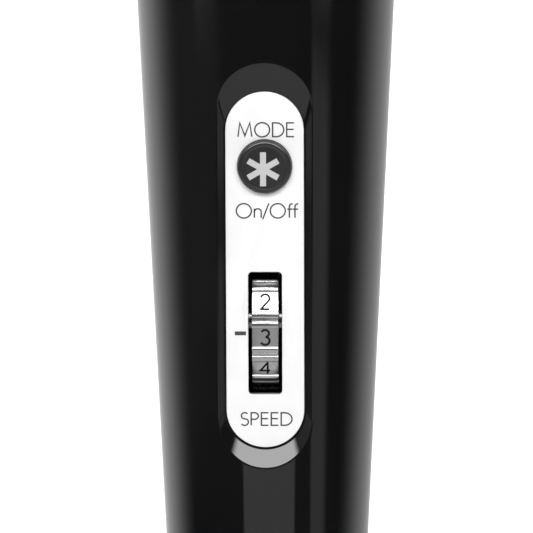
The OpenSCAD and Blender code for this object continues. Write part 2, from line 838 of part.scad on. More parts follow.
// Plastic end of the motor, with a holder for each brush
module motor_end_cap() {
    holder_out = motor_r - can_t - magnet_t - 0.4;
    color("white") difference() {
        union() {
            difference() {
                union() {
                    translate([0, 0, motor_z - end_cap_t]) cylinder(r = motor_r, h = end_cap_t);
                    translate([0, 0, motor_z]) cylinder(r = motor_r - can_t - 0.05, h = 2);
                }
                translate([0, 0, motor_z - end_cap_t + 1.6]) cylinder(r = 9, h = far);
            }
            for (s = [-1, 1]) translate([s > 0 ? 6.4 : -holder_out, -brush_w / 2 - 1.2, motor_z])
                cube([holder_out - 6.4, brush_w + 2.4, brush_low + brush_h + 0.8]);
        }
        translate([0, 0, motor_z - end_cap_t - 1]) cylinder(r = nose_r - 2, h = 4);
        translate([-motor_r, -brush_w / 2, motor_z + brush_low]) cube([2 * motor_r, brush_w, brush_h]);
    }
}

// Carbon brushes, hollowed to the commutator that they press on
module motor_brushes() {
    brush_l = 7;
    inner = commutator_r - 1;
    color([0.2, 0.2, 0.2]) difference() {
        for (s = [-1, 1]) translate([s > 0 ? inner : -inner - brush_l, -brush_w / 2, motor_z + brush_low])
            cube([brush_l, brush_w, brush_h]);
        translate([0, 0, motor_z]) cylinder(r = commutator_r + run_gap, h = brush_low + brush_h + 2);
    }
}

module motor_magnets() {
    outer = motor_r - can_t;
    color([0.3, 0.3, 0.32]) difference() {
        ring(outer - 0.05, outer - magnet_t, motor_z + magnet_low, motor_len - magnet_low - 6);
        translate([-far / 2, -3, 0]) cube([far, 6, far]);
    }
}

// Sintered bushes at both ends of the motor
module motor_bushes() {
    color("goldenrod") {
        ring(nose_r - 2, motor_shaft_r + run_gap, motor_top - can_t, nose_h + can_t - 0.2);
        ring(nose_r - 2, motor_shaft_r + run_gap, motor_z - end_cap_t + 0.2, 1.4);
    }
}

module motor_dampers() {
    color([0.15, 0.15, 0.15]) for (z = damper_zs()) ring(damper_r, motor_r, z, damper_w);
}

module armature() {
    slots = 5;
    low = motor_z + magnet_low + 2;
    color([0.45, 0.3, 0.2]) translate([0, 0, low]) difference() {
        cylinder(r = armature_r, h = motor_top - 6 - low);
        translate([0, 0, -1]) cylinder(r = motor_shaft_r, h = motor_len);
        for (k = [0:slots - 1]) rotate([0, 0, 360 * k / slots])
            translate([armature_r - 3.4, -0.8, -1]) cube([6, 1.6, motor_len]);
    }
}

module commutator() {
    color("goldenrod") ring(commutator_r, motor_shaft_r, motor_z + brush_low - 1, brush_h + 2);
}

module motor_shaft() {
    low = motor_z - end_cap_t;
    color("silver") translate([0, 0, low]) cylinder(r = motor_shaft_r, h = motor_shaft_top - low);
}

// Close-wound flexible coupling between the motor's shaft and the eccentric's shaft
module drive_coupling() {
    pitch = 1.6;
    turns = floor((coupling_high - coupling_low) / pitch);
    color("gray") difference() {
        rotate_extrude() polygon(concat(
            [[0, coupling_low]],
            [for (k = [0:turns - 1]) let (z = coupling_low + k * pitch) each [
                [coupling_r - 0.4, z],
                [coupling_r, z + pitch / 4],
                [coupling_r, z + pitch * 3 / 4],
                [coupling_r - 0.4, z + pitch]
            ]],
            [[0, coupling_low + turns * pitch]]
        ));
        translate([0, 0, coupling_low - 1])
            cylinder(r = motor_shaft_r, h = motor_shaft_top - coupling_low + 1);
        translate([0, 0, motor_shaft_top]) cylinder(r = drive_r - 0.8, h = shaft_foot - motor_shaft_top);
        translate([0, 0, shaft_foot]) cylinder(r = drive_r + run_gap, h = far);
    }
}

// ---------------------------------------------------------------- neck

// Ring-shaped socket for an end of the neck spring, from z up
module spring_socket(z) {
    ring(spring_r + spring_wire + 0.2, spring_r - spring_wire - 0.2, z, spring_seat + 1);
}

module neck_anchor() {
    color([0.15, 0.15, 0.15]) difference() {
        union() {
            translate([0, 0, anchor_z]) cylinder(r = anchor_disc_r, h = anchor_disc_t);
            translate([0, 0, anchor_z]) cylinder(r = anchor_r, h = neck_z - 1 - anchor_z);
        }
        translate([0, 0, anchor_z - 1]) cylinder(r = anchor_bore, h = far);
        spring_socket(neck_z - spring_seat);
    }
}

module head_anchor() {
    color([0.15, 0.15, 0.15]) difference() {
        translate([0, 0, head_z + 1]) cylinder(r = anchor_r, h = cup_z - head_z - 1);
        translate([0, 0, head_z - 1]) cylinder(r = anchor_bore, h = far);
        spring_socket(head_z - 1);
    }
}

module neck_collar() {
    color("silver") rotate_extrude() polygon(concat(
        [[anchor_r + fit_gap, top_z], [collar_r, top_z]],
        arc(collar_r - 1.4, neck_z - 1.6, 1.4, 0, 90, 8),
        [[anchor_r + fit_gap, neck_z - 0.2]]
    ));
}

// Half of the ribbed rubber sleeve, from z0 to z0 + h
module sleeve(z0, h) {
    pitch = h / sleeve_ribs;
    root = sleeve_in + sleeve_wall;
    rotate_extrude() polygon(concat(
        [[sleeve_in, z0]],
        [for (k = [0:sleeve_ribs - 1]) each
            arc(root, z0 + (k + 0.5) * pitch, rib_out, -90, 90, 8, pitch * 0.42)],
        [[sleeve_in, z0 + h]]
    ));
}

module neck_sleeve_lower() {
    color([0.12, 0.12, 0.12]) sleeve(neck_z, neck_len / 2);
}

module neck_sleeve_upper() {
    color([0.12, 0.12, 0.12]) sleeve(neck_mid, neck_len / 2);
}

module neck_spring() {
    low = neck_z - spring_seat + spring_wire;
    high = head_z + spring_seat - spring_wire;
    n = spring_turns * spring_steps;
    points = [for (i = [0:n]) for (k = [0:spring_sides - 1])
        let (a = 360 * i / spring_steps, b = 360 * k / spring_sides, r = spring_r + spring_wire * cos(b))
        [r * cos(a), r * sin(a), low + (high - low) * i / n + spring_wire * sin(b)]];
    color("silver") polyhedron(points, concat(
        [[for (k = [0:spring_sides - 1]) k]],
        [for (i = [0:n - 1]) for (k = [0:spring_sides - 1])
            let (a = i * spring_sides, b = a + spring_sides, m = (k + 1) % spring_sides) each [
            [a + k, b + k, a + m], [a + m, b + k, b + m]
        ]],
        [[for (k = [spring_sides - 1:-1:0]) n * spring_sides + k]]
    ));
}

// ---------------------------------------------------------------- head

module head_collar() {
    color("silver") rotate_extrude() polygon(concat(
        [[anchor_r + fit_gap, head_z + 0.2], [collar_r - 1, head_z + 0.2]],
        arc(ring_r - 1.6, head_z + 2, 1.6, -70, 0, 8),
        [[ring_r, cup_z - 0.05], [anchor_r + fit_gap, cup_z - 0.05]]
    ));
}

// Outline of the head inset by t: a straight band between two rounded ends
module head_profile(t, z_low, z_high) {
    band_low = cup_z + head_end;
    band_high = head_top - head_end;
    foot_r = ring_r + 1;
    polygon(concat(
        [[0, z_low]],
        arc(foot_r - t, band_low, head_r - foot_r, -90, 0, 14, band_low - z_low),
        arc(foot_r - t - 8, band_high, head_r - foot_r + 8, 0, 90, 18, z_high - band_high),
        [[0, z_high]]
    ));
}

module cup_solid() {
    rotate_extrude() head_profile(cover_t + 0.05, cup_z, head_top - cover_t - 0.05);
}

module cup_hollow() {
    rotate_extrude() head_profile(cover_t + cup_wall, cup_z + cup_floor, head_top - cover_t - cup_wall);
}

module head_boss_places() {
    for (k = [0:2]) rotate([0, 0, 120 * k + 30]) translate([head_boss_at, 0, 0]) children();
}

module slab(z0, z1) {
    translate([-far / 2, -far / 2, z0]) cube([far, far, z1 - z0]);
}

module cup_shell() {
    difference() {
        cup_solid();
        cup_hollow();
    }
    intersection() {
        cup_solid();
        head_boss_places() translate([0, 0, cup_z + 6])
            cylinder(r = head_boss_r, h = cup_split + 6 - cup_z);
    }
}

module head_base() {
    color([0.85, 0.85, 0.85]) difference() {
        union() {
            intersection() {
                cup_shell();
                slab(cup_z, cup_split);
            }
            ring(bearing_r + seat_wall, bearing_r, lower_bearing_z - 0.5, bearing_w + 0.5);
        }
        translate([0, 0, cup_z - 1]) cylinder(r = bearing_r - 1.6, h = cup_floor + 2);
        translate([0, 0, lower_bearing_z]) cylinder(r = bearing_r, h = bearing_w + 1);
        head_boss_places() translate([0, 0, cup_z - 1]) {
            cylinder(r = head_screw_r + 0.2, h = far);
            cylinder(r = 2.2, h = 10);
        }
    }
}

module head_cap() {
    roof = head_top - cover_t - cup_wall;
    color([0.85, 0.85, 0.85]) difference() {
        union() {
            intersection() {
                cup_shell();
                slab(cup_split, head_top);
            }
            translate([0, 0, upper_bearing_z])
                cylinder(r = bearing_r + seat_wall, h = roof + 0.5 - upper_bearing_z);
        }
        translate([0, 0, upper_bearing_z - 1]) cylinder(r = bearing_r, h = bearing_w + 1);
        translate([0, 0, upper_bearing_z]) cylinder(r = bearing_r - 1.6, h = roof - upper_bearing_z);
        head_boss_places() translate([0, 0, cup_split - 1]) cylinder(r = head_screw_r, h = 10);
    }
}

module head_screws() {
    head_h = 1.6;
    low = cup_z + 9 - head_h;
    color("silver") head_boss_places() translate([0, 0, low]) {
        cylinder(r = 2, h = head_h);
        cylinder(r = head_screw_r, h = cup_split + 8 - low);
    }
}

module head_cover() {
    color([0.2, 0.2, 0.21]) difference() {
        rotate_extrude() head_profile(0, cup_z, head_top);
        rotate_extrude() head_profile(cover_t, cup_z - 0.01, head_top - cover_t);
    }
}

// ---------------------------------------------------------------- eccentric drive

module bearing_outer(z) {
    color("silver") difference() {
        ring(bearing_r, outer_race, z, bearing_w);
        translate([0, 0, z + bearing_w / 2]) rotate_extrude() translate([ball_at, 0]) circle(ball_r + 0.04);
    }
}

module bearing_inner(z) {
    color("silver") difference() {
        ring(inner_race, drive_r, z, bearing_w);
        translate([0, 0, z + bearing_w / 2]) rotate_extrude() translate([ball_at, 0]) circle(ball_r + 0.04);
    }
}

module bearing_outer_lower() { bearing_outer(lower_bearing_z); }
module bearing_outer_upper() { bearing_outer(upper_bearing_z); }
module bearing_inner_lower() { bearing_inner(lower_bearing_z); }
module bearing_inner_upper() { bearing_inner(upper_bearing_z); }

module bearing_balls() {
    color("white") for (z = [lower_bearing_z, upper_bearing_z]) for (k = [0:balls - 1])
        rotate([0, 0, 360 * k / balls]) translate([ball_at, 0, z + bearing_w / 2]) sphere(ball_r);
}

module eccentric_shaft() {
    shoulder = 0.8;
    color("silver") difference() {
        union() {
            translate([0, 0, shaft_foot]) cylinder(r = drive_r, h = shaft_top - shaft_foot);
            translate([0, 0, lower_bearing_z + bearing_w]) cylinder(r = drive_r + 1, h = shoulder);
            translate([0, 0, upper_bearing_z - shoulder]) cylinder(r = drive_r + 1, h = shoulder);
        }
        translate([drive_r - flat_cut, -drive_r, weight_z]) cube([drive_r, 2 * drive_r, weight_len]);
    }
}

module eccentric_weight() {
    hub_r = 6;
    color("goldenrod") difference() {
        union() {
            intersection() {
                translate([0, 0, weight_z]) cylinder(r = weight_r, h = weight_len);
                translate([-far, -far / 2, 0]) cube([far, far, far]);
            }
            translate([0, 0, weight_z]) cylinder(r = hub_r, h = weight_len);
        }
        difference() {
            translate([0, 0, weight_z - 1]) cylinder(r = drive_r, h = weight_len + 2);
            translate([drive_r - flat_cut, -drive_r, weight_z - 2])
                cube([drive_r, 2 * drive_r, weight_len + 4]);
        }
        translate([0, 0, weight_z + weight_len / 2]) rotate([0, 90, 0])
            cylinder(r = weight_screw_r, h = hub_r + 2);
    }
}

module weight_screw() {
    color("dimgray") translate([drive_r - flat_cut, 0, weight_z + weight_len / 2]) rotate([0, 90, 0])
        cylinder(r = weight_screw_r, h = 4);
}

// ---------------------------------------------------------------- nodes

front_shell();
rear_shell();
case_screws();
control_plate();
control_board();
mode_switch();
wheel_bracket();
bracket_screws();
board_screws();
speed_pot();
power_board();
power_parts();
terminal_block();
cord_gland();
cord_clamp();
clamp_screws();
motor_can();
motor_end_cap();
motor_brushes();
motor_magnets();
motor_bushes();
motor_dampers();
motor_leads();
control_leads();
neck_anchor();
neck_collar();
mode_button();
speed_wheel();
pot_shaft();
armature();
commutator();
motor_shaft();
drive_coupling();
neck_sleeve_lower();
neck_sleeve_upper();
neck_spring();
head_collar();
head_anchor();
head_base();
head_cap();
head_screws();
head_cover();
bearing_outer_lower();
bearing_outer_upper();
bearing_balls();
eccentric_shaft();
eccentric_weight();
weight_screw();
bearing_inner_lower();
bearing_inner_upper();
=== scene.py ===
"""Looks of the handheld wand massager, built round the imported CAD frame."""

from math import atan, cos, pi, radians, sin, sqrt

import bmesh
import bpy
import numpy as np
from mathutils import Matrix, Vector


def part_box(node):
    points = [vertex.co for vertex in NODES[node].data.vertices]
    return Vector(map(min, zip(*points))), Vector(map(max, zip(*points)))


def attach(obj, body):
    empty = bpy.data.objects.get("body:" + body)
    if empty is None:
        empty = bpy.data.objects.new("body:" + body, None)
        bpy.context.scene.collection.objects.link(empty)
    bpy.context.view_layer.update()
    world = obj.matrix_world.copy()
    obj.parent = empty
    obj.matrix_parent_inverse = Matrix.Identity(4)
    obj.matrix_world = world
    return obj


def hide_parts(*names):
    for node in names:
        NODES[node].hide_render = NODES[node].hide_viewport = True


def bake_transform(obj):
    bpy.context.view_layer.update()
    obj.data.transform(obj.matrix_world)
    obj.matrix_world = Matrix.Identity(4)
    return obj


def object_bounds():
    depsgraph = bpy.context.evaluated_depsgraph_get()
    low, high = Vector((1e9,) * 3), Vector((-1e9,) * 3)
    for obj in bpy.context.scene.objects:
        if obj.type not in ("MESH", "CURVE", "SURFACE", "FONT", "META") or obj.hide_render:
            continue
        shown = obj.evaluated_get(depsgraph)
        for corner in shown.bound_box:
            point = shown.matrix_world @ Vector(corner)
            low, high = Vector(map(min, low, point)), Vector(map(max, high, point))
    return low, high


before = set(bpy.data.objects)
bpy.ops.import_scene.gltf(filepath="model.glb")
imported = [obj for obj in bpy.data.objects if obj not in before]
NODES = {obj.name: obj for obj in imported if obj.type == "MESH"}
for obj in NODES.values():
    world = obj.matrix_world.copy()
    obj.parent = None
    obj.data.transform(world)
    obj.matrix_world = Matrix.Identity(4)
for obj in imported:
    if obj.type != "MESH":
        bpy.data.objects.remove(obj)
CAD_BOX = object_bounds()
MM = 0.001

# Sizes below are in millimetres, and are the CAD model's own values where a box of the frame can't give them.
GRIP_R = 23.6
TAPER = 0.0467
WALL = 2.5
END_WALL = 3.0
TAIL_ROUND = 7.0
SHOULDER_LEN = 14.0
SHOULDER_IN = 9.0
TILT = radians(1.6)
PLATE_T = 1.0
PAD_BACK = 2.8
GAP_SIDE = 1.6
GAP_TOP = 6.1
GAP_BOTTOM = 3.9
STATIONS = 12
WHEEL_REST = 2.5
BUTTON_FLANGE = 1.0
BUTTON_OUT = 1.2
WINDOW_GAP = 1.5
WINDOW_END_GAP = 2.35
TAIL_HOLE_R = 6.35
NECK_HOLE_R = 14.5
SLEEVE_IN = 14.3
SLEEVE_RIB_OUT = 1.5
SLEEVE_RIBS = 3
PLASTIC_IOR = 1.5


def low(node):
    """Lowest corner of a CAD node, in millimetres."""
    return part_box(node)[0] / MM


def high(node):
    """Highest corner of a CAD node, in millimetres."""
    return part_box(node)[1] / MM


TAIL_Z = low("front_shell").z
TOP_Z = high("front_shell").z
PLATE_R = high("control_plate").x
PLATE_HALF = (high("control_plate").z - low("control_plate").z - PLATE_T * sin(TILT)) / 2 / cos(TILT)
PANEL_Y = -low("control_plate").y - PLATE_HALF * sin(TILT)


def panel(x, y, z):
    """A point of the control panel's leaning frame: y is depth behind the plate's face, z runs along it."""
    return Vector((x, -PANEL_Y + y * cos(TILT) - z * sin(TILT), y * sin(TILT) + z * cos(TILT)))


def from_world(p):
    """The same point back in the panel's frame."""
    y = p[1] + PANEL_Y
    return Vector((p[0], y * cos(TILT) + p[2] * sin(TILT), p[2] * cos(TILT) - y * sin(TILT)))


def middle(node):
    return (low(node) + high(node)) / 2


BUTTON_Z = from_world(middle("mode_button")).z
BUTTON_R = high("mode_button").x - BUTTON_FLANGE
WHEEL_AXIS = middle("speed_wheel")
WHEEL_W = high("speed_wheel").x - low("speed_wheel").x
WHEEL_R = (high("speed_wheel").z - low("speed_wheel").z) / 2
WHEEL_Z = from_world(WHEEL_AXIS).z
WINDOW_W = WHEEL_W + WINDOW_GAP
WINDOW_LEN = 2 * (sqrt(WHEEL_R**2 - (from_world(WHEEL_AXIS).y - PAD_BACK) ** 2) + WINDOW_END_GAP)
NECK_Z = high("neck_collar").z
HEAD_Z = low("head_collar").z
NECK_MID = high("neck_sleeve_lower").z


# ---------------------------------------------------------------- materials


def node(tree, kind, inputs=None, **settings):
    made = tree.nodes.new(kind)
    for key, value in settings.items():
        setattr(made, key, value)
    for key, value in (inputs or {}).items():
        if isinstance(value, bpy.types.NodeSocket):
            tree.links.new(value, made.inputs[key])
        else:
            made.inputs[key].default_value = value
    return made


def noise(tree, scale, detail=3.0, rough=0.55):
    """Fractal noise in the object's own coordinates, at so many features a metre."""
    place = node(tree, "ShaderNodeTexCoord")
    made = node(tree, "ShaderNodeTexNoise", {"Scale": scale, "Detail": detail, "Roughness": rough})
    tree.links.new(place.outputs["Object"], made.inputs["Vector"])
    return made.outputs["Fac"]


def spread(tree, value, out_low, out_high, in_low=0.3, in_high=0.7):
    """The noise value spread over a range."""
    made = node(
        tree,
        "ShaderNodeMapRange",
        {"Value": value, "From Min": in_low, "From Max": in_high, "To Min": out_low, "To Max": out_high},
    )
    return made.outputs["Result"]


def finish_material(
    name,
    dark,
    light,
    rough,
    metallic=0.0,
    mottle=40.0,
    grain=900.0,
    bump=0.1,
    depth=0.00002,
    sheen=0.0,
    specular=0.5,
):
    """A finish whose colour runs from dark to light and whose roughness runs over a range, with a fine
    grain."""
    made = bpy.data.materials.new(name)
    made.use_nodes = True
    tree = made.node_tree
    shader = tree.nodes["Principled BSDF"]
    shader.inputs["Metallic"].default_value = metallic
    shader.inputs["IOR"].default_value = PLASTIC_IOR
    shader.inputs["Specular IOR Level"].default_value = specular
    shader.inputs["Sheen Weight"].default_value = sheen
    shader.inputs["Sheen Roughness"].default_value = 0.5
    wide = noise(tree, mottle)
    ramp = node(tree, "ShaderNodeValToRGB", {"Fac": wide})
    ramp.color_ramp.elements[0].position = 0.3
    ramp.color_ramp.elements[0].color = (*dark, 1)
    ramp.color_ramp.elements[1].position = 0.7
    ramp.color_ramp.elements[1].color = (*light, 1)
    tree.links.new(ramp.outputs["Color"], shader.inputs["Base Color"])
    worn = noise(tree, mottle * 4, 5.0)
    tree.links.new(spread(tree, worn, rough[0], rough[1]), shader.inputs["Roughness"])
    fine = node(
        tree,
        "ShaderNodeBump",
        {"Strength": bump, "Distance": depth, "Height": noise(tree, grain, 2.0)},
    )
    tree.links.new(fine.outputs["Normal"], shader.inputs["Normal"])
    return made


def grey(value):
    return (value, value, value)


MATERIALS = {
    "gloss_black": finish_material(
        "gloss_black", grey(0.0032), grey(0.0042), (0.03, 0.07), bump=0.03, grain=260.0, depth=0.00001
    ),
    "matte_black": finish_material("matte_black", grey(0.018), grey(0.03), (0.45, 0.6), bump=0.4),
    "button_black": finish_material(
        "button_black", grey(0.012), grey(0.017), (0.2, 0.27), bump=0.15, grain=3000.0
    ),
    "satin_silver": finish_material(
        "satin_silver", grey(0.68), grey(0.74), (0.42, 0.5),
        metallic=0.35, bump=0.25, grain=5000.0, depth=0.000008,
    ),
    "bright_silver": finish_material(
        "bright_silver", grey(0.82), grey(0.88), (0.16, 0.24),
        metallic=1.0, bump=0.05, grain=2500.0, depth=0.000006,
    ),
    "steel": finish_material("steel", (0.5, 0.5, 0.51), (0.62, 0.62, 0.63), (0.2, 0.34), metallic=1.0),
    "zinc_steel": finish_material(
        "zinc_steel", (0.55, 0.56, 0.58), (0.7, 0.7, 0.7), (0.28, 0.42), metallic=1.0
    ),
    "brass": finish_material("brass", (0.62, 0.42, 0.15), (0.76, 0.55, 0.24), (0.22, 0.38), metallic=1.0),
    "soft_grey": finish_material(
        "soft_grey", grey(0.03), grey(0.038), (0.5, 0.62), bump=0.35, grain=2200.0, sheen=0.25
    ),
    "neck_rubber": finish_material(
        "neck_rubber", grey(0.012), grey(0.02), (0.42, 0.55), bump=0.3, grain=1800.0
    ),
    "pale_plastic": finish_material(
        "pale_plastic", (0.7, 0.69, 0.65), (0.8, 0.79, 0.75), (0.35, 0.5), bump=0.2
    ),
    "circuit_board": finish_material("circuit_board", (0.01, 0.09, 0.03), (0.02, 0.14, 0.05), (0.25, 0.4)),
    "component_blue": finish_material("component_blue", (0.02, 0.05, 0.2), (0.03, 0.08, 0.28), (0.3, 0.45)),
    "component_dark": finish_material("component_dark", grey(0.03), grey(0.06), (0.35, 0.5)),
    "wire_insulation": finish_material("wire_insulation", (0.3, 0.02, 0.02), (0.4, 0.04, 0.03), (0.35, 0.45)),
    "magnet": finish_material("magnet", grey(0.05), grey(0.08), (0.5, 0.7), metallic=0.4, bump=0.5),
    "carbon": finish_material("carbon", grey(0.015), grey(0.03), (0.5, 0.7), bump=0.5),
    "copper": finish_material("copper", (0.65, 0.3, 0.18), (0.8, 0.42, 0.26), (0.25, 0.45), metallic=1.0),
}
PAD_GREY = finish_material("pad_grey", grey(0.07), grey(0.09), (0.3, 0.4), grain=1500.0)
PRINT_BLACK = finish_material("print_black", grey(0.04), grey(0.055), (0.5, 0.6), grain=4000.0, specular=0.1)
PRINT_DARK = finish_material("print_dark", grey(0.008), grey(0.014), (0.5, 0.6), grain=4000.0, specular=0.04)
PRINT_PALE = finish_material("print_pale", grey(0.3), grey(0.34), (0.45, 0.55), grain=4000.0)
WHEEL_CHROME = finish_material(
    "wheel_chrome", grey(0.5), grey(0.56), (0.24, 0.32), metallic=1.0, bump=0.08, grain=2500.0, depth=0.000006
)


def paint_frame():
    """Every CAD node takes the finish of its material slot."""
    for name, obj in NODES.items():
        slots = [m.name.split(".")[0] for m in obj.data.materials]
        for i, slot in enumerate(slots):
            obj.data.materials[i] = MATERIALS[slot]


# ---------------------------------------------------------------- mesh helpers


def new_piece(name, mesh, body, material, sharp=32.0):
    """A finished piece that rides on a body, from a mesh in metres."""
    obj = bpy.data.objects.new(name, mesh)
    bpy.context.scene.collection.objects.link(obj)
    mesh.materials.clear()
    mesh.materials.append(material)
    mesh.polygons.foreach_set("use_smooth", [True] * len(mesh.polygons))
    mesh.set_sharp_from_angle(angle=radians(sharp))
    if body:
        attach(obj, body)
    return obj


def face_outwards(work):
    """Turns every face of a closed mesh outwards."""
    bmesh.ops.recalc_face_normals(work, faces=work.faces)
    if work.calc_volume(signed=True) < 0:
        bmesh.ops.reverse_faces(work, faces=work.faces)


def closed_mesh(name, points, faces):
    """A mesh in metres from points in millimetres, with its faces turned outwards."""
    mesh = bpy.data.meshes.new(name)
    mesh.from_pydata([tuple(Vector(p) * MM) for p in points], [], faces)
    work = bmesh.new()
    work.from_mesh(mesh)
    face_outwards(work)
    work.to_mesh(mesh)
    work.free()
    mesh.update()
    return mesh


def strip_faces(a, b, closed=True):
    """Quads between two rings of point numbers."""
    n = len(a)
    return [(a[i], a[(i + 1) % n], b[(i + 1) % n], b[i]) for i in range(n if closed else n - 1)]


def loft(rings, cap=True):
    """Points and faces of a tube through rings of equal length, with its ends capped or joined to each
    other."""
    n = len(rings[0])
    points = [p for ring in rings for p in ring]
    numbers = [list(range(k * n, (k + 1) * n)) for k in range(len(rings))]
    faces = [f for a, b in zip(numbers, numbers[1:]) for f in strip_faces(a, b)]
    if cap:
        faces += [tuple(numbers[0]), tuple(reversed(numbers[-1]))]
    else:
        faces += strip_faces(numbers[-1], numbers[0])
    return points, faces


def arc(cx, cy, rx, ry, start, end, n):
    """Points of an elliptical arc, with its angles in degrees."""
    angles = np.radians(np.linspace(start, end, n + 1))
    return [(cx + rx * cos(a), cy + ry * sin(a)) for a in angles]


def slot_outline(r, half, n=40):
    """An upright outline with round ends, given as (x, z)."""
    straight = half - r
    return arc(0, straight, r, r, 0, 180, n) + arc(0, -straight, r, r, 180, 360, n)


def plate_mesh(name, outlines, y0, y1, edge, place=panel):
    """A flat plate with holes and rounded edges; outlines are (x, z) lists, with the outside first."""
    curve = bpy.data.curves.new(name, "CURVE")
    curve.dimensions = "2D"
    curve.fill_mode = "BOTH"
    curve.extrude = (y1 - y0) / 2 - edge
    curve.bevel_depth = edge
    curve.bevel_resolution = 2
    curve.offset = -edge
    for outline in outlines:
        spline = curve.splines.new("POLY")
        spline.points.add(len(outline) - 1)
        spline.use_cyclic_u = True
        for point, (x, z) in zip(spline.points, outline):
            point.co = (x, z, 0, 1)
    holder = bpy.data.objects.new(name, curve)
    mesh = bpy.data.meshes.new_from_object(holder)
    bpy.data.objects.remove(holder)
    bpy.data.curves.remove(curve)
    work = bmesh.new()
    work.from_mesh(mesh)
    bmesh.ops.remove_doubles(work, verts=work.verts, dist=1e-4)
    for v in work.verts:
        x, z, depth = v.co
        v.co = place(x, (y0 + y1) / 2 - depth, z) * MM
    face_outwards(work)
    work.to_mesh(mesh)
    work.free()
    return mesh


# ---------------------------------------------------------------- handle shell


def outer_r(z):
    return GRIP_R + TAPER * z


def handle_profile(inset, straight):
    """Half section of the handle as (r, z) from the tail's hole to the neck's hole, and how many points
    come before the straight stretch. That stretch has a point at each given share of its length."""
    shift = END_WALL if inset else 0.0
    z_low, z_high = TAIL_Z + shift, TOP_Z - shift
    slope = atan(TAPER)
    f = TAIL_ROUND - inset
    a, b = SHOULDER_IN - inset, SHOULDER_LEN - inset
    start = atan(-TAPER * b / a)
    cx = outer_r(z_low + f) - inset - f / cos(slope)
    tail = arc(cx, z_low + f, f, f, -90, -np.degrees(slope), 10)
    cx = outer_r(z_high - b + b * sin(start)) - inset - a * cos(start)
    shoulder = arc(cx, z_high - b, a, b, np.degrees(start), 90, 18)
    (r0, z0), (r1, z1) = tail[-1], shoulder[0]
    run = [(r0 + (r1 - r0) * t, z0 + (z1 - z0) * t) for t in straight]
    first = [(TAIL_HOLE_R, z_low), ((TAIL_HOLE_R + tail[0][0]) / 2, z_low)] + tail[:-1]
    last = shoulder[1:] + [((NECK_HOLE_R + shoulder[-1][0]) / 2, z_high), (NECK_HOLE_R, z_high)]
    return first + run + last, len(first)


def on_handle(x, z):
    """The point of the handle's front surface at x and z."""
    return Vector((x, -sqrt(outer_r(z) ** 2 - x * x), z))


def handle_normal(p):
    r = sqrt(p[0] ** 2 + p[1] ** 2)
    return Vector((p[0], p[1], -r * TAPER)).normalized()


